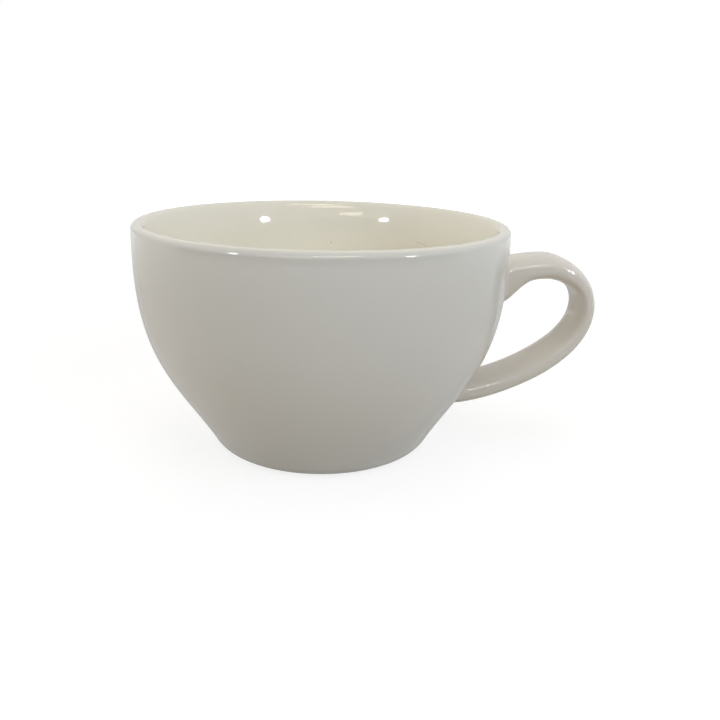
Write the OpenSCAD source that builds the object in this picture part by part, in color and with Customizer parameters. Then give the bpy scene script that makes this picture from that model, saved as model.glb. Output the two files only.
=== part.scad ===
// A cappuccino cup: a wide round bowl on a small foot, and a strap handle stuck on with slip.
// Millimetres. The origin is the middle of the foot, on the table, and the handle points along +X.
// The clay sizes are those of the fired clay under its glaze.

/* [Bowl] */
// Diameter at the widest place, a little under the lip
bowl_d = 99.4; // [82:0.1:120]
// Height from the table to the top of the lip
bowl_h = 61.6; // [50:0.1:76]
// How far the widest place lies below the top of the lip
widest_drop = 8.8; // [6:0.1:11]
// Reach of the nearly upright part of the wall, below the widest place
belly_hold = 26.1; // [20:0.1:32]
// Reach of the nearly straight flank, above the foot
flank_run = 18.9; // [14:0.1:23]
// Lean of the flank from upright, where it leaves the foot, in degrees
flank_lean = 30.3; // [24:0.1:36]
// Thickness of the rounded lip
lip_w = 2.9; // [2.2:0.1:3.8]
// Thickness of the wall lower down
wall_w = 5; // [4.2:0.1:5.8]
// Height over which the lip thickens to the wall
lip_run = 14; // [11:0.5:17]
// Thickness of the floor over the recess
floor_w = 4.8; // [3.8:0.1:6]
// Diameter of the flat middle of the floor inside
floor_flat_d = 20; // [14:0.5:26]

/* [Foot] */
// Outer diameter of the flat ring that the cup stands on
foot_d = 53; // [43:0.1:58]
// Width of that flat ring
foot_w = 3; // [2.2:0.1:4]
// Diameter at the top of the rounded foot
tuck_d = 63; // [61:0.1:75]
// Height of the top of the rounded foot
tuck_h = 3.9; // [3:0.1:5]
// Depth of the recess inside the foot ring
recess_h = 2.2; // [1.6:0.1:3]

/* [Handle path] */
// How far the middle of the upper root lies below the top of the lip
upper_root_drop = 12.7; // [11:0.1:15]
// Height of the middle of the lower root above the table
lower_root_h = 14; // [11.5:0.1:17]
// How far the handle's highest place stands off the bowl's widest place
crest_reach = 12; // [10:0.1:14]
// How far the strap's middle line climbs from the upper root to that place
crest_rise = 1.6; // [1:0.1:2.5]
// How far the strap's middle line stands off the bowl at its outermost
handle_reach = 23.8; // [20:0.1:29]
// How far the outermost place lies below the highest
outermost_drop = 11.7; // [9.5:0.1:14]
// Slope of the strap as it leaves the upper root, in degrees
upper_slope = 8.6; // [4:0.1:12]
// Slope of the strap as it leaves the lower root, in degrees
lower_slope = 2; // [0:0.1:8]
// Reach of the straight start at the upper root
upper_run = 1.5; // [1.2:0.1:3]
// Reach of the level stretch on the bowl's side of the highest place
crest_run_in = 5.6; // [4:0.1:7]
// Reach of the level stretch on the outer side of the highest place
crest_run_out = 3.1; // [2.5:0.1:5]
// Reach of the upright stretch above the outermost place
outer_run_up = 9; // [7:0.1:11]
// Reach of the upright stretch below the outermost place
outer_run_down = 14.9; // [12:0.1:18]
// Reach of the straight start at the lower root
lower_run = 8.4; // [6.5:0.1:11]

/* [Handle strap] */
// Width of the strap at its outermost place
strap_w = 14; // [11.5:0.1:17]
// Width of the strap at both roots
root_w = 14.5; // [12:0.1:17.5]
// Thickness of the upper part of the strap
upper_t = 6.2; // [5:0.1:7.5]
// Thickness at the outermost place
outer_t = 4.2; // [3.4:0.1:5.5]
// Thickness halfway along the lower part of the strap
lower_t = 5.7; // [4.6:0.1:7]
// Thickness at the lower root
lower_root_t = 6; // [4.8:0.1:7.5]
// How squarely the strap's edges are rounded: 2 is an ellipse
squareness = 2.5; // [2:0.1:3]
// How far the upper root spreads down the wall
spread_h = 5.7; // [4.5:0.1:7]
// How far that spread reaches along the strap
spread_l = 4.4; // [3.5:0.1:5.5]
// Length over which the strap's sections turn to lie along the wall
turn_l = 8; // [6:0.1:10]

/* [Slip joints] */
// Thickness of each slip joint, from the bowl to the end of the handle
slip_w = 1.5; // [1.2:0.1:2]
// Radius of the bead of slip round each root
bead_r = 1.5; // [1.2:0.1:1.9]

/* [Glaze] */
// Thickness of the glaze
glaze_t = 0.3; // [0.24:0.01:0.4]
// Where the glaze ends on the rounded foot, as a share of the way up it
glaze_start = 0.3; // [0.2:0.05:0.4]

/* [Hidden] */

around = 96;
foot_steps = 10;
belly_steps = 24;
lip_steps = 10;
floor_steps = 12;
recess_steps = 6;
strap_sides = 24;
bowl_r = bowl_d / 2;
lip_z = bowl_h - lip_w / 2;
widest_z = bowl_h - widest_drop;
floor_z = recess_h + floor_w;
ring_out_r = foot_d / 2;
ring_in_r = ring_out_r - foot_w;
// The bead meets the bowl at a small angle, so that it has no feather edge
bead_lift = 0.06;
// How deep the handle's form runs on into the bowl before it is cut to the wall, with one more
// section just under the skin
root_depth = 3;
skin_depth = 0.5;

// Cubic curve through p[0] and p[3], at t from 0 to 1
function curve(p, t) =
    (1 - t)^3 * p[0] + 3 * (1 - t)^2 * t * p[1] + 3 * (1 - t) * t^2 * p[2] + t^3 * p[3];

// Direction of travel along that curve
function curve_way(p, t) =
    unit((1 - t)^2 * (p[1] - p[0]) + 2 * (1 - t) * t * (p[2] - p[1]) + t^2 * (p[3] - p[2]));

function unit(v) = v / norm(v);

// Soft step from 0 to 1
function ease(x) = 0.5 - 0.5 * cos(180 * min(max(x, 0), 1));

function reversed(list) = [for (i = [len(list) - 1 : -1 : 0]) list[i]];

// The side that lies to the right of the direction of travel, which is away from the clay
function right_of(way) = [way.y, -way.x];

// A line of points moved sideways by d, away from the clay
function outset(points, d) = [
    for (i = [0 : len(points) - 1])
        let (last = len(points) - 1,
             way = unit(points[min(i + 1, last)] - points[max(i - 1, 0)]))
        points[i] + d * right_of(way)
];

// Half section of the bowl's outside: the rounded foot, then the flank and belly up to the lip
tuck = [tuck_d / 2, tuck_h];
tuck_run = 0.5;
flank_way = [sin(flank_lean), cos(flank_lean)];
foot_curve = [[ring_out_r, 0], [(ring_out_r + 2 * tuck.x) / 3, 0], tuck - tuck_run * flank_way, tuck];
belly_curve = [tuck, tuck + flank_run * flank_way, [bowl_r, widest_z - belly_hold], [bowl_r, widest_z]];
foot_side = [for (i = [0 : foot_steps - 1]) curve(foot_curve, i / foot_steps)];
belly_side = [for (i = [0 : belly_steps]) curve(belly_curve, i / belly_steps)];
outside = concat(foot_side, belly_side, [[bowl_r, lip_z]]);

// The rounded lip, from the outside over to the inside, where the wall leaves it with a lean
lip_lean = atan(2 * (wall_w - lip_w) / lip_run);
function lip_point(a) = [bowl_r - lip_w / 2 + lip_w / 2 * cos(a), lip_z + lip_w / 2 * sin(a)];
lip_round = [for (i = [1 : lip_steps - 1]) lip_point((180 - lip_lean) * i / lip_steps)];
lip_end = lip_point(180 - lip_lean);

// The wall thickens from there over lip_run, and keeps its thickness down to where the inside turns
// in to the floor. turn_share is that place on the belly curve, and turn_pull is how fully the turn
// fills the corner.
turn_share = 0.34;
turn_pull = 0.55;
rim_steps = 6;
wall_steps = 16;
function wall_at(z) =
    let (start = bowl_r - lip_end.x, x = min(max((lip_end.y - z) / lip_run, 0), 1))
    start + (wall_w - start) * (1 - (1 - x)^2);
function inner_point(t) =
    let (p = curve(belly_curve, t))
    p - wall_at(p.y) * right_of(curve_way(belly_curve, t));
inner_rim = [
    for (i = [0 : rim_steps - 1])
        let (z = lip_end.y + (widest_z - lip_end.y) * i / rim_steps)
        [bowl_r - wall_at(z), z]
];
inner_wall = [for (i = [0 : wall_steps]) inner_point(1 - (1 - turn_share) * i / wall_steps)];
turn = inner_point(turn_share);
floor_edge = [floor_flat_d / 2, floor_z];
floor_curve = [
    turn,
    turn - turn_pull * (turn.y - floor_z) * curve_way(belly_curve, turn_share),
    floor_edge + [turn_pull * (turn.x - floor_edge.x), 0],
    floor_edge
];
inner_floor = [for (i = [1 : floor_steps]) curve(floor_curve, i / floor_steps)];
inside = concat(inner_rim, inner_wall, inner_floor, [[0, floor_z]]);

// The recess under the floor, from the ring's inner edge to the middle
recess_curve = [
    [ring_in_r, 0],
    [ring_in_r - 0.2 * recess_h, recess_h],
    [ring_in_r - 0.4 * recess_h, recess_h],
    [ring_in_r - 1.4 * recess_h, recess_h]
];
recess = concat([for (i = [0 : recess_steps]) curve(recess_curve, i / recess_steps)], [[0, recess_h]]);

// Radius of the bowl's outside at a height, and its lean from upright there in degrees, taken over
// a height of 1 mm
wall_table = [for (p = outside) [p.y, p.x]];
function wall_r(z) = lookup(z, wall_table);
function wall_lean(z) = atan(wall_r(z + 0.5) - wall_r(z - 0.5));

// The handle's middle line lies in the XZ plane: out and up, over the crest, round and back in
upper_root_z = bowl_h - upper_root_drop;
upper_root = [wall_r(upper_root_z), upper_root_z];
lower_root = [wall_r(lower_root_h), lower_root_h];
crest = [bowl_r + crest_reach, upper_root_z + crest_rise];
outermost = [bowl_r + handle_reach, crest.y - outermost_drop];
upper_way = [cos(upper_slope), sin(upper_slope)];
lower_way = [cos(lower_slope), sin(lower_slope)];
rise_curve = [upper_root, upper_root + upper_run * upper_way, crest - [crest_run_in, 0], crest];
bend_curve = [crest, crest + [crest_run_out, 0], outermost + [0, outer_run_up], outermost];
return_curve = [
    outermost,
    outermost - [0, outer_run_down],
    lower_root + lower_run * lower_way,
    lower_root
];

// Stations along the handle: which curve, and how far along it. They lie closer near the roots.
rise_steps = 12;
bend_steps = 11;
return_steps = 20;
crowding = 1.6;
stations = concat(
    [for (i = [0 : rise_steps]) [0, (i / rise_steps)^crowding]],
    [for (i = [1 : bend_steps]) [1, i / bend_steps]],
    [for (i = [return_steps - 1 : -1 : 0]) [2, 1 - (i / return_steps)^crowding]]
);
handle_curves = [rise_curve, bend_curve, return_curve];

// Middle point, direction and station of each section. A station's whole number is its curve. The
// ends run on into the bowl in a straight line.
middles = concat(
    [for (d = [root_depth, skin_depth]) [upper_root - d * upper_way, upper_way, 0]],
    [
        for (s = stations)
            let (c = handle_curves[s[0]])
            [curve(c, s[1]), curve_way(c, s[1]), s[0] + s[1]]
    ],
    [for (d = [skin_depth, root_depth]) [lower_root - d * lower_way, -lower_way, 3]]
);

// Full thickness and width of the strap at a station, from 0 at the upper root to 3 at the lower
function strap_t(s) =
    s < 1 ? upper_t
    : s < 2 ? upper_t + (outer_t - upper_t) * ease(s - 1)
    : s < 2.5 ? outer_t + (lower_t - outer_t) * ease(2 * (s - 2))
    : lower_t + (lower_root_t - lower_t) * ease(2 * (s - 2.5));
function strap_width(s) =
    s < 2 ? root_w + (strap_w - root_w) * ease(s / 2) : strap_w + (root_w - strap_w) * ease(s - 2);

// How far a section has turned to lie along the wall, 1 at a root
function turned(middle, root, way) = ease(1 - max((middle - root) * way, 0) / turn_l);

// Distance of a point from the bowl's outside, and the direction straight out of the wall there
function wall_gap(p) = (norm([p.x, p.y]) - wall_r(p.z)) * cos(wall_lean(p.z));
function wall_out(p) =
    let (a = atan2(p.y, p.x), lean = wall_lean(p.z))
    [cos(a) * cos(lean), sin(a) * cos(lean), -sin(lean)];

// Height of the bead of slip over the strap's skin, at a distance from the wall
function bead(gap) =
    let (d = min(max(gap + bead_lift, 0), bead_r))
    bead_r - sqrt(bead_r^2 - (bead_r - d)^2);

// Cosine and sine raised to a power that keeps their sign, for sections between ellipse and box
function rounded(v, power) = sign(v) * abs(v)^power;

// One section of the handle, grown outwards by a thickness of glaze
function section(m, grow) =
    let (s = m[2],
         upper = s < 1.5,
         root = upper ? upper_root : lower_root,
         root_way = upper ? upper_way : lower_way,
         lean = wall_lean(root.y),
         along_wall = (upper ? 1 : -1) * [sin(lean), cos(lean)],
         left = [-m[1].y, m[1].x],
         turning = turned(m[0], root, root_way),
         up = unit((1 - turning) * left + turning * along_wall),
         half_t = (strap_t(s) / 2 + grow) / (up * left),
         half_w = strap_width(s) / 2 + grow,
         spread = upper ? spread_h * exp(-(max((m[0] - root) * root_way, 0) / spread_l)^2) : 0)
    [
        for (k = [0 : strap_sides - 1])
            let (a = 360 * k / strap_sides,
                 u = rounded(cos(a), 2 / squareness),
                 v = rounded(sin(a), 2 / squareness),
                 h = u * (half_t + (u < 0 ? spread : 0)),
                 p = [m[0].x + h * up.x, v * half_w, m[0].y + h * up.y],
                 nu = rounded(cos(a), 2 - 2 / squareness) / half_t,
                 nv = rounded(sin(a), 2 - 2 / squareness) / half_w,
                 skin = [nu * up.x, nv, nu * up.y],
                 out = wall_out(p),
                 sideways = unit(skin - (skin * out) * out))
            p + bead(wall_gap(p) - grow) * sideways
    ];

// The handle with its beads, from inside the wall at one root to inside it at the other
module handle_form(grow) {
    rings = [for (m = middles) section(m, grow)];
    n = strap_sides;
    last = len(rings) - 1;
    points = [for (ring = rings, p = ring) p];
    sides = [
        for (i = [0 : last - 1], k = [0 : n - 1])
            let (a = i * n + k, b = i * n + (k + 1) % n)
            each [[a, b, b + n], [a, b + n, a + n]]
    ];
    start = [for (k = [1 : n - 2]) [0, k + 1, k]];
    end = [for (k = [1 : n - 2]) [last * n, last * n + k, last * n + k + 1]];
    polyhedron(points = points, faces = concat(sides, start, end));
}

// Everything inside the bowl's outline, grown outwards
module envelope(grow) {
    rotate_extrude($fn = around)
        polygon(concat([[0, 0]], outset(outside, grow), [[0, lip_z]]));
}

// The space above and below the middle of the gap between the two roots
split_z = (upper_root_z - spread_h + lower_root_h) / 2;
module above() {
    translate([0, -bowl_d / 2, split_z])
        cube([bowl_d, bowl_d, bowl_h]);
}
module below() {
    translate([0, -bowl_d / 2, split_z - bowl_h])
        cube([bowl_d, bowl_d, bowl_h]);
}

// The slip between the bowl and the handle, with the bead that it makes
module slip() {
    difference() {
        intersection() {
            handle_form(0);
            envelope(slip_w);
        }
        envelope(0);
    }
}

// Pressed clay bowl with its foot ring
module bowl() {
    color("linen")
        rotate_extrude($fn = around)
            polygon(concat(outside, lip_round, inside, reversed(recess)));
}

// Cast clay strap, its ends cut to the bowl's curve
module handle() {
    color("antiquewhite")
        difference() {
            handle_form(0);
            envelope(slip_w);
        }
}

module upper_joint() {
    color("tan")
        intersection() {
            slip();
            above();
        }
}

module lower_joint() {
    color("tan")
        intersection() {
            slip();
            below();
        }
}

// Glaze over the inside, the lip and the outside, with openings where the handle stands on the clay
module bowl_glaze() {
    first = floor(glaze_start * foot_steps);
    coated = concat([for (i = [first : len(outside) - 1]) outside[i]], lip_round, inside);
    color("ivory")
        difference() {
            rotate_extrude($fn = around)
                polygon(concat(outset(coated, glaze_t), reversed(coated)));
            handle_form(glaze_t);
        }
}

// Glaze over the handle and its beads
module handle_glaze() {
    color("ivory")
        difference() {
            handle_form(glaze_t);
            handle_form(0);
            envelope(0);
        }
}

// Glaze in the recess, inside the bare ring
module underside_glaze() {
    coated = [for (i = [2 : len(recess) - 1]) recess[i]];
    color("ivory")
        rotate_extrude($fn = around)
            polygon(concat(outset(coated, -glaze_t), reversed(coated)));
}

bowl();
handle();
upper_joint();
lower_joint();
bowl_glaze();
handle_glaze();
underside_glaze();
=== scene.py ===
# %% [markdown]
# # A cappuccino cup
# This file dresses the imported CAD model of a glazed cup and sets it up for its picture. The CAD model
# is the frame: each piece made here stands in its place, in metres, with the origin in the middle of
# the foot and the handle along +X. The cells can be read and run in order, like a notebook.

# %% Load the frame
import math

import bmesh
import bpy
from mathutils import Matrix, Vector


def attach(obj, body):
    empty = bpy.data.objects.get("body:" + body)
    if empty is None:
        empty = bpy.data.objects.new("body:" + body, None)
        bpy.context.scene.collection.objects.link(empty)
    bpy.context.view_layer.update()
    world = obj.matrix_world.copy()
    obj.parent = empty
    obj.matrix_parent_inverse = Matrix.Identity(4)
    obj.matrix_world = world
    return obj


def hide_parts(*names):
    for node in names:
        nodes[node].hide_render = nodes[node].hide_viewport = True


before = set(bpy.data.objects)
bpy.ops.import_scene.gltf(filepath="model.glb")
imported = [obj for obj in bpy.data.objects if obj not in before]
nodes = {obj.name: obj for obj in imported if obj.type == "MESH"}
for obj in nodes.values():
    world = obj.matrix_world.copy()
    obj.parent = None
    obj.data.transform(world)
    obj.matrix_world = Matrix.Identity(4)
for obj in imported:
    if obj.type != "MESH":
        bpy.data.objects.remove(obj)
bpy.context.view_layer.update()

MM = 0.001

# %% [markdown]
# ## The camera
# The photograph was taken from close by, a little above the lip, so the cup's ellipses are strong.
# The camera could be set by eye, but the outline of a round cup gives it away: the widths of the lip
# and the foot, and how round their ellipses are, fix its height, distance and tilt. Those numbers
# stand here as a place and three angles.

# %% Camera
CAMERA_PLACE = Vector((0, -196.27, 87.57)) * MM
CAMERA_PITCH = 0.3214
CAMERA_YAW = 0.0552
CAMERA_ROLL = -0.0250
SENSOR_W = 36
FOCAL_LENGTH = 36
NEAREST_SEEN = 0.01


def camera_turn(pitch, yaw, roll):
    """Turn of a camera that looks along +Y, then down by pitch, towards +X by yaw, and rolled."""
    ahead = Vector((
        math.sin(yaw) * math.cos(pitch),
        math.cos(yaw) * math.cos(pitch),
        -math.sin(pitch),
    ))
    level = Vector((math.cos(yaw), -math.sin(yaw), 0))
    down = ahead.cross(level)
    right = math.cos(roll) * level + math.sin(roll) * down
    up = math.sin(roll) * level - math.cos(roll) * down
    return Matrix((right, up, -ahead)).transposed()


lens = bpy.data.cameras.new("camera")
lens.sensor_fit = "HORIZONTAL"
lens.sensor_width = SENSOR_W
lens.lens = FOCAL_LENGTH
lens.clip_start = NEAREST_SEEN
camera = bpy.data.objects.new("camera", lens)
camera.matrix_world = Matrix.Translation(CAMERA_PLACE) @ camera_turn(
    CAMERA_PITCH, CAMERA_YAW, CAMERA_ROLL
).to_4x4()
bpy.context.collection.objects.link(camera)
bpy.context.scene.camera = camera
print("Camera stands", round(CAMERA_PLACE.length / MM), "mm from the middle of the foot")

# %% [markdown]
# ## The cup's half section
# A cup is pressed or thrown on a wheel, so one half section says everything about its bowl. It could
# be drawn as a row of measured points, but three cubic curves hold it better: the rounded foot, the
# flank that leans out at 30 degrees and stands up into the belly, and the turn of the inside down to
# the floor. The values are those of the fired clay in the CAD source, in millimetres.

# %% Sizes of the clay bowl
BOWL_R = 49.7
BOWL_H = 61.6
WIDEST_Z = BOWL_H - 8.8
LIP_W = 2.9
WALL_W = 5
LIP_RUN = 14
RING_OUT_R = 26.5
RING_IN_R = 23.5
RECESS_H = 2.2
RECESS_FLAT_R = 10
FLOOR_Z = RECESS_H + 4.8
FLOOR_FLAT_R = 10
TUCK = Vector((31.5, 3.9))
TUCK_RUN = 0.5
FLANK_LEAN = math.radians(30.3)
FLANK_RUN = 18.9
BELLY_HOLD = 26.1
TURN_SHARE = 0.34
TURN_PULL = 0.55
LIP_Z = BOWL_H - LIP_W / 2
LIP_LEAN = math.atan(2 * (WALL_W - LIP_W) / LIP_RUN)
print("Clay bowl:", 2 * BOWL_R, "mm across and", BOWL_H, "mm high")

# %% [markdown]
# The outside is two curves that meet in the tuck, the place where the foot's rounding hands over to
# the flank. Both pass it in the same direction, so no crease shows in the glaze.

# %% Curves of the outside
flank_way = Vector((math.sin(FLANK_LEAN), math.cos(FLANK_LEAN)))
foot_curve = [
    Vector((RING_OUT_R, 0)),
    Vector(((RING_OUT_R + 2 * TUCK.x) / 3, 0)),
    TUCK - TUCK_RUN * flank_way,
    TUCK,
]
belly_curve = [
    TUCK,
    TUCK + FLANK_RUN * flank_way,
    Vector((BOWL_R, WIDEST_Z - BELLY_HOLD)),
    Vector((BOWL_R, WIDEST_Z)),
]


def curve(p, t):
    """Point of a cubic curve, at t from 0 to 1."""
    s = 1 - t
    return s**3 * p[0] + 3 * s * s * t * p[1] + 3 * s * t * t * p[2] + t**3 * p[3]


def curve_way(p, t):
    """Direction of travel along it."""
    s = 1 - t
    way = s * s * (p[1] - p[0]) + 2 * s * t * (p[2] - p[1]) + t * t * (p[3] - p[2])
    return way.normalized()


print("Halfway along the belly the clay is", round(2 * curve(belly_curve, 0.5).x, 1), "mm across")

# %% [markdown]
# The inside could be a second drawn curve. A potter thinks of the wall instead: it is thin at the lip
# and thickens downwards, so the inside is found straight across the wall from the outside.

# %% Lip and wall


def lip_point(a):
    """Point of the rounded lip, from 0 on the outside to half a turn on the inside."""
    return Vector((BOWL_R - LIP_W / 2 + LIP_W / 2 * math.cos(a), LIP_Z + LIP_W / 2 * math.sin(a)))


lip_end = lip_point(math.pi - LIP_LEAN)


def wall_at(z):
    """Thickness of the wall: it grows downwards from the lip over LIP_RUN."""
    start = BOWL_R - lip_end.x
    x = min(max((lip_end.y - z) / LIP_RUN, 0), 1)
    return start + (WALL_W - start) * (1 - (1 - x) ** 2)


def inner_point(t):
    """Point of the inside, straight across the wall from the belly curve at t."""
    point = curve(belly_curve, t)
    way = curve_way(belly_curve, t)
    return point - wall_at(point.y) * Vector((way.y, -way.x))


turn = inner_point(TURN_SHARE)
floor_curve = [
    turn,
    turn - TURN_PULL * (turn.y - FLOOR_Z) * curve_way(belly_curve, TURN_SHARE),
    Vector((FLOOR_FLAT_R + TURN_PULL * (turn.x - FLOOR_FLAT_R), FLOOR_Z)),
    Vector((FLOOR_FLAT_R, FLOOR_Z)),
]
recess_curve = [
    Vector((RING_IN_R, 0)),
    Vector((RING_IN_R - 0.2 * RECESS_H, RECESS_H)),
    Vector((RING_IN_R - 0.4 * RECESS_H, RECESS_H)),
    Vector((RING_IN_R - 1.4 * RECESS_H, RECESS_H)),
]
print("The floor's turn starts", round(turn.y, 1), "mm up, where the wall is", WALL_W, "mm thick")

# %% [markdown]
# Blender spins points, not curves, so each curve becomes a row of points. Too many cost time, and
# too few show as facets in what the glaze mirrors, so the lip, which bends most, has one point for
# every 7 degrees.

# %% Half section in points
FOOT_STEPS = 20
BELLY_STEPS = 40
LIP_STEPS = 24
RIM_STEPS = 10
INNER_STEPS = 30
FLOOR_STEPS = 20
RECESS_STEPS = 12


def stretch(p, steps):
    """Points along a curve, both ends included."""
    return [curve(p, i / steps) for i in range(steps + 1)]


foot_side = stretch(foot_curve, FOOT_STEPS)
belly_side = stretch(belly_curve, BELLY_STEPS)[1:]
lip_round = [lip_point((math.pi - LIP_LEAN) * i / LIP_STEPS) for i in range(LIP_STEPS)]
inner_rim = [
    Vector((BOWL_R - wall_at(z), z))
    for z in (lip_end.y + (WIDEST_Z - lip_end.y) * i / RIM_STEPS for i in range(RIM_STEPS))
]
inner_side = [
    inner_point(1 - (1 - TURN_SHARE) * i / INNER_STEPS) for i in range(INNER_STEPS + 1)
]
inner_floor = stretch(floor_curve, FLOOR_STEPS)[1:] + [
    Vector((FLOOR_FLAT_R / 2, FLOOR_Z)),
    Vector((0, FLOOR_Z)),
]
recess = stretch(recess_curve, RECESS_STEPS) + [
    Vector((RECESS_FLAT_R, RECESS_H)),
    Vector((0, RECESS_H)),
]
inside = inner_rim + inner_side + inner_floor
clay_line = foot_side + belly_side + lip_round + inside
print("Half section:", len(clay_line), "points from the foot over the lip to the floor")

# %% [markdown]
# ## A round piece
# `spin` does what the wheel does: it turns a half section about the upright axis. The first and last
# copies are merged, points that lie on the axis fall together into a closed pole, and the normals are
# set after that, because spin can leave a shape inside out. Each round piece is a closed loop in the
# half section, so that it has real thickness, as the clay and the glaze do. The side of the loop that
# lies on the axis is left out, because it sweeps no face and would stay behind as a loose wire.

# %% Turn a half section
AROUND = 192
SAME_PLACE = 0.002 * MM


def piece_from(bm, name):
    """A finished object at the origin, smooth, riding on the cup."""
    mesh = bpy.data.meshes.new(name)
    bm.to_mesh(mesh)
    bm.free()
    for face in mesh.polygons:
        face.use_smooth = True
    piece = bpy.data.objects.new(name, mesh)
    bpy.context.collection.objects.link(piece)
    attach(piece, "root")
    return piece


def turned(name, line):
    """Round piece from a closed half section in millimetres."""
    bm = bmesh.new()
    corners = [bm.verts.new((p.x * MM, 0, p.y * MM)) for p in line]
    sides = zip(corners, corners[1:] + corners[:1])
    edges = [bm.edges.new((a, b)) for a, b in sides if a.co.x > 0 or b.co.x > 0]
    bmesh.ops.spin(
        bm, geom=corners + edges, cent=(0, 0, 0), axis=(0, 0, 1), dvec=(0, 0, 0),
        angle=2 * math.pi, steps=AROUND, use_merge=True, use_duplicate=False,
    )
    bmesh.ops.remove_doubles(bm, verts=bm.verts, dist=SAME_PLACE)
    bmesh.ops.recalc_face_normals(bm, faces=bm.faces)
    open_edges = sum(not edge.is_manifold for edge in bm.edges)
    print(name, "has", len(bm.faces), "faces and", open_edges, "open edges")
    return piece_from(bm, name)


# %% [markdown]
# ## The clay body
# Under its glaze the cup is pale clay, and it shows in one place only: the flat ring that it was
# fired on, which has to be wiped clean or it would stick to the kiln shelf. The CAD solid has the
# right form but flat facets, so a turned body with smooth shading takes its place.

# %% Clay body
body = turned("clay_body", clay_line + list(reversed(recess)))
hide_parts("bowl")

# %% [markdown]
# ## The glaze on the bowl
# Glaze melts into a skin about 0.3 mm thick. It could be a material alone, but as a real shell it
# rounds the lip, softens the foot and ends in a small rolled edge above the bare ring, as glaze
# does. The shell is the clay's own line, moved outwards along its normals, and back along the clay.

# %% Section of a glaze shell
GLAZE_T = 0.3
ROLL_POINTS = 6
SLACK = 0.004


def sideways(points, i):
    """Direction away from the clay at a point of a line."""
    way = (points[min(i + 1, len(points) - 1)] - points[max(i - 1, 0)]).normalized()
    return Vector((way.y, -way.x))


def coat(points, side):
    """Closed half section of glaze over a line: its first end rolls down to the clay."""
    skin = []
    for i, point in enumerate(points):
        share = math.sqrt(1 - (1 - min(i / ROLL_POINTS, 1)) ** 2)
        skin.append(point + side * GLAZE_T * share * sideways(points, i))
    return skin + list(reversed(points[1:]))


def no_slack(line):
    """The same line without points that fall together."""
    kept = [line[0]]
    for point in line[1:]:
        if (point - kept[-1]).length > SLACK:
            kept.append(point)
    return kept


# %% [markdown]
# One shell runs from above the foot's flat ring over the outside, the lip and the inside to the middle
# of the floor. The other covers the recess under the cup, from the ring's inner side to the middle.
# The ring between them stays bare.

# %% Glaze shells
OUTER_START = 6
UNDER_START = 4

coated = no_slack(foot_side[OUTER_START:] + belly_side + lip_round + inside)
bowl_coat = turned("bowl_coat", coat(coated, 1))
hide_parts("bowl_glaze")

underneath = no_slack(recess[UNDER_START:])
under_coat = turned("underside_coat", coat(underneath, -1))
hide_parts("underside_glaze")

# %% [markdown]
# ## The handle
# The strap leaves the bowl, climbs a little, bends over and returns low on the belly. On the real cup
# it is cast, cut to the bowl's curve and stuck on with slip, and glaze runs over the joint. It could
# be a curve with a bevel, but its section changes all the way: it is thin at the outside, spreads
# down the wall at the upper root and turns to lie along the wall. So its path and its section are
# worked out first, and a straight tube is carried onto them later.

# %% Sizes of the strap
UPPER_ROOT_Z = BOWL_H - 12.7
LOWER_ROOT_Z = 14
UPPER_CLIMB = math.radians(8.6)
LOWER_CLIMB = math.radians(2)
UPPER_WAY = Vector((math.cos(UPPER_CLIMB), math.sin(UPPER_CLIMB)))
LOWER_WAY = Vector((math.cos(LOWER_CLIMB), math.sin(LOWER_CLIMB)))
CREST = Vector((BOWL_R + 12, UPPER_ROOT_Z + 1.6))
OUTERMOST = Vector((BOWL_R + 23.8, CREST.y - 11.7))
UPPER_PULL = 1.5
CREST_PULL_IN = 5.6
CREST_PULL_OUT = 3.1
OUTER_PULL_UP = 9
OUTER_PULL_DOWN = 14.9
LOWER_PULL = 8.4
STRAP_W = 14
ROOT_W = 14.5
UPPER_T = 6.2
OUTER_T = 4.2
LOWER_T = 5.7
LOWER_ROOT_T = 6
SQUARENESS = 2.5
SPREAD_H = 5.7
SPREAD_L = 4.4
TURN_L = 8
print("Strap:", STRAP_W, "mm wide and", OUTER_T, "mm thick at the outside, without its glaze")

# %% [markdown]
# The handle has to know the wall that it grows out of. Its radius at any height is read off the half
# section, and its lean is taken over a height of 1 mm, so that single points don't disturb it.

# %% The wall that the strap meets
wall_line = sorted(((p.y, p.x) for p in foot_side + belly_side + [lip_round[0]]))


def wall_r(z):
    """Radius of the clay's outside at a height."""
    for (z0, r0), (z1, r1) in zip(wall_line, wall_line[1:]):
        if z <= z1:
            return r0 + (r1 - r0) * (z - z0) / (z1 - z0)
    return wall_line[-1][1]


def wall_lean(z):
    """Lean of the wall from upright."""
    return math.atan(wall_r(z + 0.5) - wall_r(z - 0.5))


def wall_gap(point):
    """Distance of a point from the bowl's clay, straight out of the wall."""
    return (math.hypot(point.x, point.y) - wall_r(point.z)) * math.cos(wall_lean(point.z))


upper_root = Vector((wall_r(UPPER_ROOT_Z), UPPER_ROOT_Z))
lower_root = Vector((wall_r(LOWER_ROOT_Z), LOWER_ROOT_Z))
print("Strap from", [round(v, 1) for v in upper_root], "to", [round(v, 1) for v in lower_root])

# %% [markdown]
# The strap's middle line is three curves: out to the crest, over and down to the outermost point, and
# back in to the lower root. A station says how far along it a section sits: 0 is the upper root, 1
# the crest, 2 the outermost point and 3 the lower root. Thickness and width follow the station.

# %% Middle line and size along it
strap_curves = [
    [upper_root, upper_root + UPPER_PULL * UPPER_WAY, CREST - Vector((CREST_PULL_IN, 0)), CREST],
    [CREST, CREST + Vector((CREST_PULL_OUT, 0)), OUTERMOST + Vector((0, OUTER_PULL_UP)), OUTERMOST],
    [
        OUTERMOST,
        OUTERMOST - Vector((0, OUTER_PULL_DOWN)),
        lower_root + LOWER_PULL * LOWER_WAY,
        lower_root,
    ],
]


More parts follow.
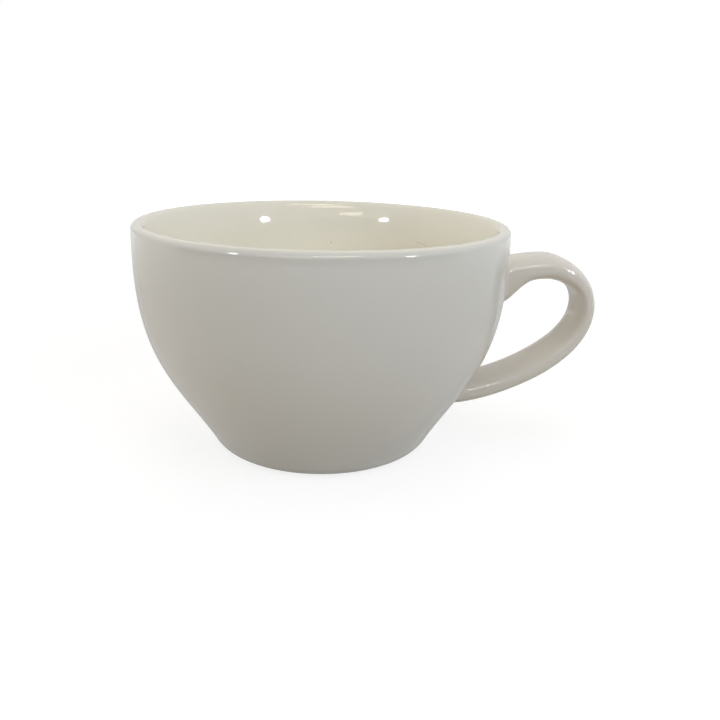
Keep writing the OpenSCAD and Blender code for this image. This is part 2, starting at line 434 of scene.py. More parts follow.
def middle(s):
    """Middle and direction of the strap at a station. Past a root it runs straight on into the
    wall, 1 for each millimetre."""
    if s < 0:
        return upper_root + s * UPPER_WAY, UPPER_WAY
    if s > 3:
        return lower_root - (s - 3) * LOWER_WAY, -LOWER_WAY
    i = min(int(s), 2)
    return curve(strap_curves[i], s - i), curve_way(strap_curves[i], s - i)


def ease(x):
    """Soft step from 0 to 1."""
    return 0.5 - 0.5 * math.cos(math.pi * min(max(x, 0), 1))


def strap_size(s):
    """Half thickness and half width of the clay strap."""
    if s < 1:
        thick = UPPER_T
    elif s < 2:
        thick = UPPER_T + (OUTER_T - UPPER_T) * ease(s - 1)
    elif s < 2.5:
        thick = OUTER_T + (LOWER_T - OUTER_T) * ease(2 * (s - 2))
    else:
        thick = LOWER_T + (LOWER_ROOT_T - LOWER_T) * ease(2 * (s - 2.5))
    if s < 2:
        width = ROOT_W + (STRAP_W - ROOT_W) * ease(s / 2)
    else:
        width = STRAP_W + (ROOT_W - STRAP_W) * ease(s - 2)
    return thick / 2, width / 2


loop_reach = OUTERMOST.x - OUTER_T / 2 - GLAZE_T
print("The finger loop reaches", round(loop_reach, 1), "mm out from the axis")

# %% [markdown]
# The section is neither a circle nor a box but something rounder than a box, which a power of the
# sine and cosine gives. Near a root it turns from square to the strap to lying along the wall, and
# under the upper root it spreads down the wall, as the real strap does where the clay was pressed on.

# %% Skin of the strap


def rounded(v, power):
    """A power that keeps the sign."""
    return math.copysign(abs(v) ** power, v)


def strap_skin(s, a, grow):
    """Point and outward direction of the strap's skin at a station and an angle round it."""
    place, way = middle(s)
    upper = s < 1.5
    root, root_way = (upper_root, UPPER_WAY) if upper else (lower_root, LOWER_WAY)
    lean = wall_lean(root.y)
    along_wall = (1 if upper else -1) * Vector((math.sin(lean), math.cos(lean)))
    left = Vector((-way.y, way.x))
    off = max((place - root).dot(root_way), 0)
    turning = ease(1 - off / TURN_L)
    up = ((1 - turning) * left + turning * along_wall).normalized()
    half_t, half_w = strap_size(s)
    half_t = (half_t + grow) / up.dot(left)
    half_w += grow
    u = rounded(math.cos(a), 2 / SQUARENESS)
    v = rounded(math.sin(a), 2 / SQUARENESS)
    spread = SPREAD_H * math.exp(-((off / SPREAD_L) ** 2)) if upper and u < 0 else 0
    h = u * (half_t + spread)
    point = Vector((place.x + h * up.x, v * half_w, place.y + h * up.y))
    nu = rounded(math.cos(a), 2 - 2 / SQUARENESS) / half_t
    nv = rounded(math.sin(a), 2 - 2 / SQUARENESS) / half_w
    return point, Vector((nu * up.x, nv, nu * up.y)).normalized()


crest_top = strap_skin(1, 0, GLAZE_T)[0]
print("The glazed strap's top is", round(crest_top.z, 1), "mm high at the crest")

# %% [markdown]
# ## The bead round each root
# Where the strap meets the wall, slip and glaze fill the corner with a small hollow curve that runs
# out level with the bowl. For each line along the tube the place where it comes within the bead's
# radius of the wall is found by halving. From there the points follow a quarter circle, out along the
# wall, so the two skins touch without a crease. The last row goes just under the bowl's glaze.

# %% Rows of the bead
BEAD_R = 1.5
BEAD_STEPS = 14
SINK = 0.012
TUCKED_DOWN = 0.14
TUCKED_ASIDE = 0.1
HALVINGS = 26
UPPER_ENDS = (-2.9, 0.95)
LOWER_ENDS = (5.9, 2.3)


def station_at(a, gap, near, far):
    """Station between near, in the wall, and far, where the skin lies a gap off the bowl's glaze."""
    for _ in range(HALVINGS):
        half = (near + far) / 2
        if wall_gap(strap_skin(half, a, GLAZE_T)[0]) - GLAZE_T < gap:
            near = half
        else:
            far = half
    return (near + far) / 2


def bead_row(a, j, near, far):
    """Point of the bead: j from 0, on the strap, to BEAD_STEPS, level with the wall, and 1 more."""
    turn_by = math.pi / 2 * min(j / BEAD_STEPS, 1)
    tucked = j > BEAD_STEPS
    gap = BEAD_R * (1 - math.sin(turn_by)) - SINK - (TUCKED_DOWN if tucked else 0)
    aside = BEAD_R * (1 - math.cos(turn_by)) + (TUCKED_ASIDE if tucked else 0)
    point, skin = strap_skin(station_at(a, gap, near, far), a, GLAZE_T)
    lean = wall_lean(point.z)
    round_by = math.atan2(point.y, point.x)
    out = Vector((
        math.cos(round_by) * math.cos(lean),
        math.sin(round_by) * math.cos(lean),
        -math.sin(lean),
    ))
    return point + aside * (skin - skin.dot(out) * out).normalized()


print("The upper bead starts", round(station_at(0, BEAD_R - SINK, *UPPER_ENDS), 2), "along the strap")

# %% [markdown]
# The tube itself starts as one circle, extruded row by row. Each vertex then knows its angle round
# the tube and its row, and is carried to its place: the first and last rows to the beads, the others
# to the strap between them. A Solidify modifier gives the skin its thickness inwards.

# %% Handle skin
STRAP_STEPS = 96
STRAP_SIDES = 96
CROWDING = 1.25
SHELL_T = 0.28 * MM


def crowd(x):
    """Rows of the strap, closer together near both roots."""
    return 0.5 * (2 * x) ** CROWDING if x < 0.5 else 1 - 0.5 * (2 - 2 * x) ** CROWDING


bead_rows = BEAD_STEPS + 2
rows = 2 * bead_rows + STRAP_STEPS - 1
bm = bmesh.new()
bmesh.ops.create_circle(bm, segments=STRAP_SIDES, radius=1)
ring = list(bm.edges)
for row in range(rows - 1):
    grown = bmesh.ops.extrude_edge_only(bm, edges=ring)["geom"]
    grown_verts = [g for g in grown if isinstance(g, bmesh.types.BMVert)]
    bmesh.ops.translate(bm, verts=grown_verts, vec=(0, 0, 1))
    ring = [
        g for g in grown
        if isinstance(g, bmesh.types.BMEdge) and abs(g.verts[0].co.z - g.verts[1].co.z) < 0.5
    ]
spans = {}
for vert in bm.verts:
    a = math.atan2(vert.co.y, vert.co.x)
    key = round(a, 4)
    if key not in spans:
        spans[key] = (
            station_at(a, BEAD_R - SINK, *UPPER_ENDS),
            station_at(a, BEAD_R - SINK, *LOWER_ENDS),
        )
    row = round(vert.co.z)
    if row < bead_rows:
        place = bead_row(a, bead_rows - 1 - row, *UPPER_ENDS)
    elif row >= rows - bead_rows:
        place = bead_row(a, row - (rows - bead_rows), *LOWER_ENDS)
    else:
        start, end = spans[key]
        share = crowd((row - bead_rows + 1) / STRAP_STEPS)
        place = strap_skin(start + (end - start) * share, a, GLAZE_T)[0]
    vert.co = place * MM
bmesh.ops.recalc_face_normals(bm, faces=bm.faces)
top = max(bm.faces, key=lambda face: face.calc_center_median().z)
if top.normal.z < 0:
    bmesh.ops.reverse_faces(bm, faces=bm.faces)
handle_coat = piece_from(bm, "handle_coat")
shell = handle_coat.modifiers.new("glaze thickness", "SOLIDIFY")
shell.thickness = SHELL_T
shell.offset = -1
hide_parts("handle_glaze")
print("Handle skin:", len(handle_coat.data.polygons), "faces")

# %% [markdown]
# ## Node helpers
# A material is a small graph of nodes. It could be wired by hand in the Shader Editor. In a script,
# four helpers keep its cells short: one adds a node and sets its sockets, one starts a node group with
# named sockets, one starts a material, and one does a sum.

# %% Node helpers


def add(tree, kind, settings=None, **sockets):
    """A node of a kind. Sockets are set by name, or by number as i0, i1 and so on: an output is
    linked, anything else is a value."""
    node = tree.nodes.new(kind)
    for key, value in (settings or {}).items():
        setattr(node, key, value)
    for key, value in sockets.items():
        numbered = key[0] == "i" and key[1:].isdigit()
        socket = node.inputs[int(key[1:]) if numbered else key.replace("_", " ")]
        if isinstance(value, bpy.types.NodeSocket):
            tree.links.new(value, socket)
        else:
            socket.default_value = value
    return node


def new_group(name, inputs, outputs):
    """A node group and its two ends."""
    tree = bpy.data.node_groups.new(name, "ShaderNodeTree")
    for label, kind, value in inputs:
        tree.interface.new_socket(label, in_out="INPUT", socket_type=kind).default_value = value
    for label, kind in outputs:
        tree.interface.new_socket(label, in_out="OUTPUT", socket_type=kind)
    return tree, tree.nodes.new("NodeGroupInput"), tree.nodes.new("NodeGroupOutput")


def new_material(name):
    """A material with its tree and its Principled shader."""
    material = bpy.data.materials.new(name)
    material.use_nodes = True
    tree = material.node_tree
    return material, tree, tree.nodes["Principled BSDF"]


def math_node(tree, operation, a, b):
    """Result of one sum."""
    node = tree.nodes.new("ShaderNodeMath")
    node.operation = operation
    for socket, value in zip(node.inputs, (a, b)):
        if isinstance(value, bpy.types.NodeSocket):
            tree.links.new(value, socket)
        else:
            socket.default_value = value
    return node.outputs[0]


# %% [markdown]
# ## Glaze
# The glaze is glossy and cream white. Seen close it isn't even: it lies a little thicker here and
# thinner there, its surface is faintly wavy so that lamps reflect as soft blots rather than discs,
# and a few tiny iron specks have come through. One group makes those three effects from the place on
# the cup, and each glaze material gives it its own colours and strength. The gloss itself is set on
# the shader.

# %% Glaze group
CLOUD_SCALE = 38.0
CLOUD_SHARE = 0.7
SPECK_SCALE = 170.0
SPECKLESS = 0.985
SPECK_SIZE = 0.028
SWELL_SCALE = 70.0
RIPPLE_SCALE = 420.0
RIPPLE_SHARE = 0.06
GLAZE_ROUGHNESS = 0.05
ROUGHNESS_CHANGE = 0.03

glaze_tree, source, result = new_group(
    "glaze surface",
    [
        ("Thick colour", "NodeSocketColor", (0.74, 0.72, 0.62, 1)),
        ("Thin colour", "NodeSocketColor", (0.70, 0.66, 0.56, 1)),
        ("Speck colour", "NodeSocketColor", (0.20, 0.14, 0.09, 1)),
        ("Waves", "NodeSocketFloat", 0.1),
    ],
    [
        ("Colour", "NodeSocketColor"),
        ("Roughness", "NodeSocketFloat"),
        ("Height", "NodeSocketFloat"),
    ],
)
place = add(glaze_tree, "ShaderNodeTexCoord").outputs["Object"]
cloud = add(
    glaze_tree, "ShaderNodeTexNoise", Vector=place, Scale=CLOUD_SCALE, Detail=3.0
).outputs["Fac"]
mix = add(
    glaze_tree, "ShaderNodeMix", {"data_type": "RGBA"},
    i0=math_node(glaze_tree, "MULTIPLY", cloud, CLOUD_SHARE),
    i6=source.outputs["Thick colour"], i7=source.outputs["Thin colour"],
).outputs[2]
cells = add(glaze_tree, "ShaderNodeTexVoronoi", Vector=place, Scale=SPECK_SCALE)
draw = add(glaze_tree, "ShaderNodeSeparateColor", Color=cells.outputs["Color"]).outputs[0]
chosen = math_node(glaze_tree, "GREATER_THAN", draw, SPECKLESS)
near_middle = math_node(glaze_tree, "LESS_THAN", cells.outputs["Distance"], SPECK_SIZE)
specked = add(
    glaze_tree, "ShaderNodeMix", {"data_type": "RGBA"},
    i0=math_node(glaze_tree, "MULTIPLY", near_middle, chosen),
    i6=mix, i7=source.outputs["Speck colour"],
).outputs[2]
swell = add(
    glaze_tree, "ShaderNodeTexNoise", Vector=place, Scale=SWELL_SCALE, Detail=1.0
).outputs["Fac"]
ripple = add(
    glaze_tree, "ShaderNodeTexNoise", Vector=place, Scale=RIPPLE_SCALE, Detail=1.0
).outputs["Fac"]
height = math_node(
    glaze_tree, "MULTIPLY",
    math_node(glaze_tree, "ADD", swell, math_node(glaze_tree, "MULTIPLY", ripple, RIPPLE_SHARE)),
    source.outputs["Waves"],
)
gloss = math_node(
    glaze_tree, "ADD", GLAZE_ROUGHNESS,
    math_node(glaze_tree, "MULTIPLY", cloud, ROUGHNESS_CHANGE),
)
glaze_tree.links.new(specked, result.inputs["Colour"])
glaze_tree.links.new(gloss, result.inputs["Roughness"])
glaze_tree.links.new(height, result.inputs["Height"])
print("Glaze group:", len(glaze_tree.nodes), "nodes")

# %% [markdown]
# The handle is a separate casting and takes the glaze a little warmer than the bowl does. Both glazes
# come from one function, which ties the group to the shader, so they differ in colour only.

# %% Glaze materials
GLAZE_IOR = 1.5
GLAZE_BUMP = 0.5
GLAZE_BUMP_H = 0.1 * MM
GLAZE_WAVES = 0.4


def glaze_material(name, thick, thin):
    """Glossy glaze with its own colours."""
    material, tree, shader = new_material(name)
    group = add(tree, "ShaderNodeGroup", {"node_tree": glaze_tree})
    group.inputs["Thick colour"].default_value = thick
    group.inputs["Thin colour"].default_value = thin
    group.inputs["Waves"].default_value = GLAZE_WAVES
    tree.links.new(group.outputs["Colour"], shader.inputs["Base Color"])
    tree.links.new(group.outputs["Roughness"], shader.inputs["Roughness"])
    bump = add(tree, "ShaderNodeBump", Height=group.outputs["Height"])
    bump.inputs["Strength"].default_value = GLAZE_BUMP
    bump.inputs["Distance"].default_value = GLAZE_BUMP_H
    tree.links.new(bump.outputs["Normal"], shader.inputs["Normal"])
    shader.inputs["IOR"].default_value = GLAZE_IOR
    return material


bowl_glaze = glaze_material("cream glaze", (0.94, 0.908, 0.80, 1), (0.93, 0.893, 0.78, 1))
handle_glaze = glaze_material("handle glaze", (0.865, 0.815, 0.735, 1), (0.855, 0.80, 0.715, 1))
print("Glazes:", bowl_glaze.name, "and", handle_glaze.name)

# %% [markdown]
# The outside of the bowl takes a darker, cooler tint than the inside. This is painted shade: one glaze,
# with the inside shown as it looks lit and the outside as it looks in shade. It could be two materials
# with a hard line between them, but on the cup the one runs into the other on the outer side of the
# lip. So a surface with an elliptical section below and a straight one above is laid halfway through
# the wall, and the painted shade comes in just outside it.

# %% Inside lit, outside in painted shade
# Painted shade: where it starts, and the darker, cooler tint that it gives the bowl's outside.
HALFWAY_R = 48.2
HALFWAY_TOP = 50.0
HALFWAY_DEPTH = 49.0
UNSHADED_UP_TO = 1.012
SHADED_FROM = 1.036
OUTSIDE_SHADE = (0.86, 0.873, 0.92, 1)


def outside_shade_mask(tree, coordinates):
    """Painted shade mask: 0 inside the bowl, 1 outside it, in between on the lip's outer side."""
    parts = add(tree, "ShaderNodeSeparateXYZ", Vector=coordinates).outputs
    below = math_node(tree, "SUBTRACT", HALFWAY_TOP * MM, parts["Z"])
    scaled = add(
        tree, "ShaderNodeCombineXYZ",
        X=math_node(tree, "DIVIDE", parts["X"], HALFWAY_R * MM),
        Y=math_node(tree, "DIVIDE", parts["Y"], HALFWAY_R * MM),
        Z=math_node(tree, "DIVIDE", math_node(tree, "MAXIMUM", below, 0.0), HALFWAY_DEPTH * MM),
    ).outputs["Vector"]
    out = add(tree, "ShaderNodeVectorMath", {"operation": "LENGTH"}, Vector=scaled).outputs["Value"]
    return add(
        tree, "ShaderNodeMapRange", {"interpolation_type": "SMOOTHSTEP"},
        i0=out, i1=UNSHADED_UP_TO, i2=SHADED_FROM, i3=0.0, i4=1.0,
    ).outputs["Result"]


tree = bowl_glaze.node_tree
shader = tree.nodes["Principled BSDF"]
coordinates = add(tree, "ShaderNodeTexCoord").outputs["Object"]
plain = shader.inputs["Base Color"].links[0].from_socket
# Painted shade: the outside of the bowl is multiplied by a darker, cooler tint than the lit inside.
shaded_outside = add(
    tree, "ShaderNodeMix", {"data_type": "RGBA", "blend_type": "MULTIPLY"},
    i0=outside_shade_mask(tree, coordinates), i6=plain, i7=OUTSIDE_SHADE,
).outputs[2]
print("The tint comes in over", round((SHADED_FROM - UNSHADED_UP_TO) * HALFWAY_R, 1), "mm")

# %% [markdown]
# The photograph shows two iron specks and a short fine crack inside, far from the handle, and two
# faint pits low on the front. Random specks would never fall there, so each mark is a place on the
# cup, in millimetres, and the glaze darkens within its radius.

# %% Shapes of the marks


def fading(tree, gap, radius, depth):
    """Mask that is depth where a distance is 0 and falls to nothing at a radius in millimetres."""
    return add(
        tree, "ShaderNodeMapRange", {"interpolation_type": "SMOOTHSTEP"},
        i0=gap, i1=0.0, i2=radius * MM, i3=depth, i4=0.0,
    ).outputs["Result"]


def dot_mask(tree, coordinates, place, radius, depth):
    """Mask of a round mark."""
    gap = add(
        tree, "ShaderNodeVectorMath", {"operation": "DISTANCE"},
        i0=coordinates, i1=Vector(place) * MM,
    ).outputs["Value"]
    return fading(tree, gap, radius, depth)


def line_mask(tree, coordinates, start, end, radius, depth):
    """Mask of a straight line: the distance is taken to its nearest point."""
    start = Vector(start) * MM
    along = Vector(end) * MM - start
    out = add(
        tree, "ShaderNodeVectorMath", {"operation": "SUBTRACT"}, i0=coordinates, i1=start
    ).outputs["Vector"]
    share = add(
        tree, "ShaderNodeVectorMath", {"operation": "DOT_PRODUCT"},
        i0=out, i1=along / along.length_squared,
    ).outputs["Value"]
    share = add(tree, "ShaderNodeClamp", i0=share).outputs["Result"]
    nearest = add(
        tree, "ShaderNodeVectorMath", {"operation": "SCALE"}, i0=along, Scale=share
    ).outputs["Vector"]
    gap = add(
        tree, "ShaderNodeVectorMath", {"operation": "DISTANCE"}, i0=out, i1=nearest
    ).outputs["Value"]
    return fading(tree, gap, radius, depth)


# %% [markdown]
# Each speck or pit is a place, a radius and a depth of colour. The crack is two straight lines, fine
# as a hair. The masks are laid over each other with MAXIMUM, so that where two meet none is doubled.

# %% Marks in the bowl's glaze
SPECKS = [
    ((2.68, 44.28, 48.66), 0.34, 0.62),
    ((11.43, 42.78, 47.71), 0.22, 0.45),
    ((7.16, -38.18, 14.95), 0.42, 0.16),
    ((20.95, -28.59, 9.73), 0.40, 0.12),
]
CRACK = [(29.67, 33.28, 50.87), (31.28, 31.76, 50.86), (32.62, 30.26, 50.08)]
CRACK_R = 0.17
CRACK_DEPTH = 0.30
MARK_COLOUR = (0.22, 0.17, 0.12, 1)

mask = 0.0
for place, radius, depth in SPECKS:
    mask = math_node(tree, "MAXIMUM", mask, dot_mask(tree, coordinates, place, radius, depth))
for start, end in zip(CRACK, CRACK[1:]):
    mask = math_node(
        tree, "MAXIMUM", mask, line_mask(tree, coordinates, start, end, CRACK_R, CRACK_DEPTH)
    )
marked = add(
    tree, "ShaderNodeMix", {"data_type": "RGBA"}, i0=mask, i6=shaded_outside, i7=MARK_COLOUR
).outputs[2]
tree.links.new(marked, shader.inputs["Base Color"])
print("Marks in the glaze:", len(SPECKS), "specks and pits, and a crack of", len(CRACK), "points")

# %% [markdown]
# A material does nothing until it sits in a piece's material slot. The bowl and its underside share
# one glaze, because they are dipped together, and the handle has its own.

# %% Glaze on its pieces
bowl_coat.data.materials.append(bowl_glaze)
under_coat.data.materials.append(bowl_glaze)
handle_coat.data.materials.append(handle_glaze)
print("Glaze on", [piece.name for piece in (bowl_coat, under_coat, handle_coat)])

# %% [markdown]
# ## Bare clay and slip
# The fired ring is matt and a little sandy, with a fine grain and a few darker grains. The slip in
# the joints is the same clay ground finer. Both are hidden nearly everywhere, but a cup is also
# turned over. One group makes the grain, and each material sets how fine it is.

# %% Clay group
GRAIN_SHARE = 0.6
STAIN_SHARE = 0.4
STAIN_SCALE = 90.0
CLAY_ROUGHNESS = 0.72
CLAY_ROUGHNESS_CHANGE = 0.2

clay_tree, source, result = new_group(
    "clay grain",
    [
        ("Light", "NodeSocketColor", (0.60, 0.53, 0.42, 1)),
        ("Dark", "NodeSocketColor", (0.45, 0.38, 0.29, 1)),
        ("Grain size", "NodeSocketFloat", 1400.0),
    ],
    [
        ("Colour", "NodeSocketColor"),
        ("Roughness", "NodeSocketFloat"),
        ("Height", "NodeSocketFloat"),
    ],
)
place = add(clay_tree, "ShaderNodeTexCoord").outputs["Object"]
grain = add(
    clay_tree, "ShaderNodeTexNoise", Vector=place, Scale=source.outputs["Grain size"], Detail=4.0
).outputs["Fac"]
stain = add(
    clay_tree, "ShaderNodeTexNoise", Vector=place, Scale=STAIN_SCALE, Detail=2.0
).outputs["Fac"]
blend_by = math_node(
    clay_tree, "ADD",
    math_node(clay_tree, "MULTIPLY", grain, GRAIN_SHARE),
    math_node(clay_tree, "MULTIPLY", stain, STAIN_SHARE),
)
blended = add(
    clay_tree, "ShaderNodeMix", {"data_type": "RGBA"},
    i0=blend_by, i6=source.outputs["Light"], i7=source.outputs["Dark"],
).outputs[2]
roughness = math_node(
    clay_tree, "ADD", CLAY_ROUGHNESS,
    math_node(clay_tree, "MULTIPLY", grain, CLAY_ROUGHNESS_CHANGE),
)
clay_tree.links.new(blended, result.inputs["Colour"])
clay_tree.links.new(roughness, result.inputs["Roughness"])
clay_tree.links.new(grain, result.inputs["Height"])
print("Clay group:", len(clay_tree.nodes), "nodes")

# %% [markdown]
# The clay goes on the turned body and on the CAD model's own handle, and the slip on its two joints.
# These three need no smooth mesh of their own, because the glaze covers them.

# %% Clay and slip on their pieces
CLAY_BUMP = 0.4
CLAY_BUMP_H = 0.08 * MM


def clay_material(name, light, dark, grain_size):
    """Matt fired clay with its own colours and grain."""
    material, tree, shader = new_material(name)
    group = add(tree, "ShaderNodeGroup", {"node_tree": clay_tree})
    group.inputs["Light"].default_value = light
    group.inputs["Dark"].default_value = dark
    group.inputs["Grain size"].default_value = grain_size
    tree.links.new(group.outputs["Colour"], shader.inputs["Base Color"])
    tree.links.new(group.outputs["Roughness"], shader.inputs["Roughness"])
    bump = add(tree, "ShaderNodeBump", Height=group.outputs["Height"])
    bump.inputs["Strength"].default_value = CLAY_BUMP
    bump.inputs["Distance"].default_value = CLAY_BUMP_H
    tree.links.new(bump.outputs["Normal"], shader.inputs["Normal"])
    return material


fired_clay = clay_material("fired clay", (0.62, 0.55, 0.44, 1), (0.47, 0.40, 0.30, 1), 1400)
fired_slip = clay_material("fired slip", (0.58, 0.51, 0.40, 1), (0.48, 0.41, 0.32, 1), 2600)
body.data.materials.append(fired_clay)
hidden = {"handle": fired_clay, "upper_joint": fired_slip, "lower_joint": fired_slip}
for name, material in hidden.items():
    nodes[name].data.materials.clear()
    nodes[name].data.materials.append(material)
print("Clay and slip on", [body.name, *hidden])

# %% [markdown]
# ## The room
# A glossy white cup shows the room that it stands in, so the room is part of its looks. The camera
# sees white all round. What falls on the cup as light is a weak grey, because the lamps do most of
# the work. What the glaze mirrors is a third thing: pale walls under a darker ceiling, or the lip
# would have a white line along its inner edge. The Light Path node tells these three apart.

# %% World
ROOM_LIGHT = (0.12, 0.12, 0.122)
WALLS_GLOW = 0.75
CEILING_GLOW = 0.3
CEILING_FROM = math.sin(math.radians(36))
CEILING_TO = math.sin(math.radians(52))


def shown(tree, rays):
    """1 where the camera, a reflection or clear matter looks, 0 for light that falls on things."""
    mirrored = math_node(tree, "MAXIMUM", rays["Is Glossy Ray"], rays["Is Transmission Ray"])
    return math_node(tree, "MAXIMUM", rays["Is Camera Ray"], mirrored)


world = bpy.data.worlds.new("studio")
bpy.context.scene.world = world
world.use_nodes = True
tree = world.node_tree
tree.nodes.clear()
room = add(tree, "ShaderNodeBackground", Color=(*ROOM_LIGHT, 1), Strength=1.0)
rays = add(tree, "ShaderNodeLightPath").outputs
way = add(tree, "ShaderNodeTexCoord").outputs["Generated"]
rise = add(tree, "ShaderNodeSeparateXYZ", Vector=way).outputs["Z"]
mirrored_glow = add(
    tree, "ShaderNodeMapRange", {"interpolation_type": "SMOOTHSTEP"},
    i0=rise, i1=CEILING_FROM, i2=CEILING_TO, i3=WALLS_GLOW, i4=CEILING_GLOW,
).outputs["Result"]
glow = add(
    tree, "ShaderNodeMix", {"data_type": "FLOAT"},
    i0=rays["Is Glossy Ray"], i2=1.0, i3=mirrored_glow,
).outputs[0]
white = add(tree, "ShaderNodeBackground", Color=(1, 1, 1, 1), Strength=glow)
both = add(
    tree, "ShaderNodeMixShader", Fac=shown(tree, rays), i1=room.outputs[0], i2=white.outputs[0]
)
add(tree, "ShaderNodeOutputWorld", Surface=both.outputs[0])
print("World:", len(tree.nodes), "nodes")

# %% [markdown]
# ## The floor
# The cup stands on a plain pale floor. A floor lit until it turns white would throw too much light up
# under the cup, so for the light it is a warm pale grey, and for the camera and for reflections its
# own glow makes up the rest. Near the cup less of the white is glow, which leaves the cup its soft
# shadow, and farther off the floor fades into the white of the room.

# %% Floor
FLOOR_HALF = 1.5
FLOOR_COLOUR = (0.60, 0.565, 0.51)
SEEN_COLOUR = (0.3, 0.3, 0.3)
CAMERA_GLOW = 0.8
MIRROR_GLOW = 0.36
FADE_FROM = 0.15
FADE_TO = 0.6


def stage_piece(name, bm, material):
    """Something of the studio, which is no part of the cup."""
    mesh = bpy.data.meshes.new(name)
    bm.to_mesh(mesh)
    bm.free()
    mesh.materials.append(material)
    thing = bpy.data.objects.new(name, mesh)
    bpy.context.collection.objects.link(thing)
    return thing


material, tree, shader = new_material("pale floor")
shader.inputs["Roughness"].default_value = 1.0
shader.inputs["Specular IOR Level"].default_value = 0.0
rays = add(tree, "ShaderNodeLightPath").outputs
seen = shown(tree, rays)
tone = add(
    tree, "ShaderNodeMix", {"data_type": "RGBA"},
    i0=seen, i6=(*FLOOR_COLOUR, 1), i7=(*SEEN_COLOUR, 1),
).outputs[2]
tree.links.new(tone, shader.inputs["Base Color"])
place = add(tree, "ShaderNodeTexCoord").outputs["Object"]
away = add(tree, "ShaderNodeVectorMath", {"operation": "LENGTH"}, Vector=place).outputs["Value"]
near_glow = add(
    tree, "ShaderNodeMix", {"data_type": "FLOAT"},
    i0=rays["Is Camera Ray"], i2=MIRROR_GLOW, i3=CAMERA_GLOW,
).outputs[0]
glow = add(
    tree, "ShaderNodeMapRange", {"interpolation_type": "SMOOTHSTEP"},
    i0=away, i1=FADE_FROM, i2=FADE_TO, i3=near_glow, i4=1.0,
).outputs["Result"]
glow = math_node(tree, "MULTIPLY", glow, seen)
bright = add(tree, "ShaderNodeEmission", Color=(1, 1, 1, 1), Strength=glow)
both = add(tree, "ShaderNodeAddShader", i0=shader.outputs[0], i1=bright.outputs[0])
tree.links.new(both.outputs[0], tree.nodes["Material Output"].inputs["Surface"])
bm = bmesh.new()
bmesh.ops.create_grid(bm, x_segments=1, y_segments=1, size=FLOOR_HALF)
stage_piece("floor", bm, material)
print("Floor:", 2 * FLOOR_HALF, "m across")

# %% [markdown]
# ## The dark side of the room
# The bright streaks on the near lip stand against a darker part of the room, behind the camera. A
# curved grey screen stands there. Only the glaze mirrors it: it throws no shadow, and the camera
# doesn't see it. It could be a dark patch in the world, but that would be endlessly far off, and a
# screen close by leaves the lamps in front of it to be mirrored with it.

# %% Dark side
DARK_AWAY = 0.45
DARK_TOP = 0.212
DARK_FROM = -176
DARK_TO = -15
DARK_STEPS = 40
DARK_TONE = (0.22, 0.22, 0.22)

material, tree, shader = new_material("dark side")
shader.inputs["Base Color"].default_value = (0, 0, 0, 1)
shader.inputs["Specular IOR Level"].default_value = 0.0
shader.inputs["Emission Color"].default_value = (*DARK_TONE, 1)
shader.inputs["Emission Strength"].default_value = 1.0
bm = bmesh.new()
start = math.radians(DARK_FROM)
foot_of_wall = bm.verts.new((DARK_AWAY * math.cos(start), DARK_AWAY * math.sin(start), 0))
top_of_wall = bm.verts.new((DARK_AWAY * math.cos(start), DARK_AWAY * math.sin(start), DARK_TOP))
edge = bm.edges.new((foot_of_wall, top_of_wall))
bmesh.ops.spin(
    bm, geom=[foot_of_wall, top_of_wall, edge], cent=(0, 0, 0), axis=(0, 0, 1), dvec=(0, 0, 0),
    angle=math.radians(DARK_TO - DARK_FROM), steps=DARK_STEPS, use_merge=False, use_duplicate=False,
)
dark_side = stage_piece("dark side", bm, material)
dark_side.visible_camera = False
dark_side.visible_diffuse = False
dark_side.visible_shadow = False
dark_side.visible_transmission = False
print("Dark side:", DARK_TO - DARK_FROM, "degrees round the cup")

# %% [markdown]
# ## Lamps
# Soft light comes from discs a metre away: one overhead, a warmer one high behind, and pairs at the
# sides and in front, warm on the left and cool on the right, as in the photograph. They could be
# mirrored in the glaze too, but then every lamp would leave a disc on the cup where the photograph
# has none. So these only light it, and the next cell makes what it mirrors.

# %% Lamps
CUP_MIDDLE = Vector((0, 0, 0.05))


def area_light(name, azimuth, elevation, distance, size, colour):
    """Light that looks at the cup from a direction in degrees; azimuth 0 is +X, 90 is +Y."""
    a = math.radians(azimuth)
    e = math.radians(elevation)
    way = Vector((math.cos(e) * math.cos(a), math.cos(e) * math.sin(a), math.sin(e)))
    data = bpy.data.lights.new(name, "AREA")
    data.size = size
    data.color = colour
    light = bpy.data.objects.new(name, data)
    light.location = CUP_MIDDLE + distance * way
    light.rotation_euler = way.to_track_quat("Z", "Y").to_euler()
    bpy.context.collection.objects.link(light)
    return light


def lamp(name, azimuth, elevation, distance, size, power, colour):
    """Round lamp that lights the cup and isn't mirrored in it."""
    light = area_light(name, azimuth, elevation, distance, size, colour)
    light.data.shape = "DISK"
    light.data.energy = power
    light.visible_glossy = False
    return light


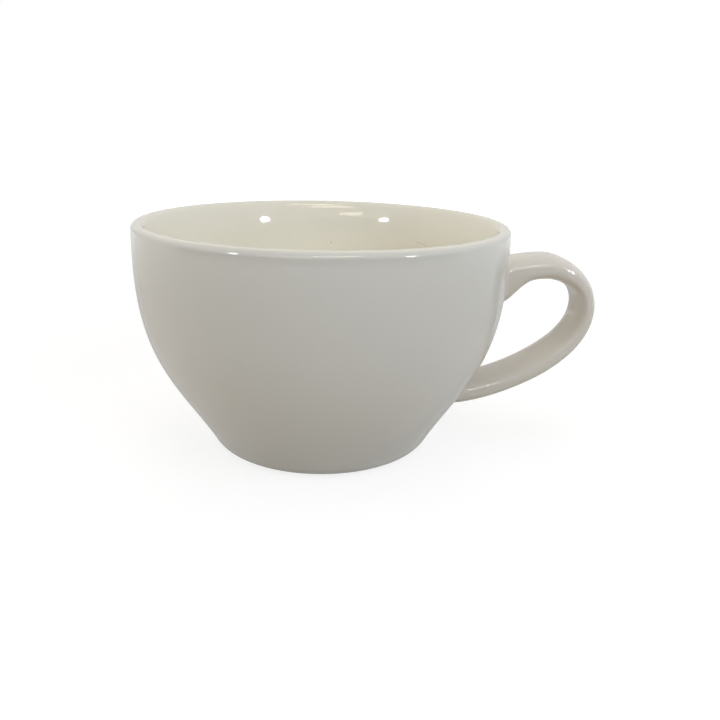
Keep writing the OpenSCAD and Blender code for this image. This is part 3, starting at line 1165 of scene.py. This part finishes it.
lamps = [
    lamp("overhead", -90, 88, 1.15, 1.0, 4.0, (1.0, 0.975, 0.92)),
    lamp("high back", 90, 50, 1.15, 1.0, 2.1, (1.0, 0.92, 0.80)),
    lamp("left side", 165, 8, 1.0, 0.5, 2.7, (1.0, 0.985, 0.96)),
    lamp("right side", 15, 8, 1.0, 0.5, 1.5, (0.92, 0.955, 1.0)),
    lamp("front left", -135, 30, 1.0, 0.7, 1.75, (1.0, 0.995, 0.975)),
    lamp("front right", -45, 30, 1.0, 0.7, 3.55, (0.84, 0.905, 1.0)),
]
print("Lamps:", len(lamps), "with", round(sum(light.data.energy for light in lamps), 2), "W")

# %% [markdown]
# ## What the glaze mirrors
# Two small lamps in front of the dark side put the paired white spots on the far inside and the
# streaks on the near lip. Long warm panels higher up give the pale lines on the far inside and on the
# strap. Each could be a glowing mesh, but a light is sampled better and leaves less noise. They are
# bright and small, and what they would add as light is left out, so the cup keeps its tone.

# %% Mirrored panels


def mirrored_panel(name, azimuth, elevation, distance, width, height, radiance, colour, shape):
    """Bright panel that only reflections see: its place and size are in degrees seen from the cup."""
    across = distance * math.radians(width)
    light = area_light(name, azimuth, elevation, distance, across, colour)
    light.data.shape = shape
    light.data.size_y = distance * math.radians(height)
    light.data.energy = radiance * math.pi * light.data.size * light.data.size_y
    light.visible_diffuse = False
    return light


LAMP_WHITE = (0.93, 1.0, 1.0)
WARM_WHITE = (1.0, 0.88, 0.68)
AMBER = (1.0, 0.82, 0.60)

panels = [
    mirrored_panel("left lamp", -139.7, 18.7, 0.462, 7.0, 2.2, 120.0, LAMP_WHITE, "ELLIPSE"),
    mirrored_panel("right lamp", -42.1, 18.0, 0.362, 6.0, 3.6, 120.0, LAMP_WHITE, "ELLIPSE"),
    mirrored_panel("warm shelf", -112, 22.6, 1.0, 16.5, 2.4, 7.0, WARM_WHITE, "RECTANGLE"),
    mirrored_panel("warm wall", -97, 29.6, 1.0, 30, 2.8, 7.0, WARM_WHITE, "RECTANGLE"),
    mirrored_panel("warm strip", -80, 42, 1.0, 24, 3.0, 32.0, AMBER, "RECTANGLE"),
]
print("Mirrored:", [panel.name for panel in panels])

# %% [markdown]
# ## Finish
# Colours are shown by the Standard transform, so that they come out as they were written.

# %% Finish
bpy.context.scene.view_settings.view_transform = "Standard"
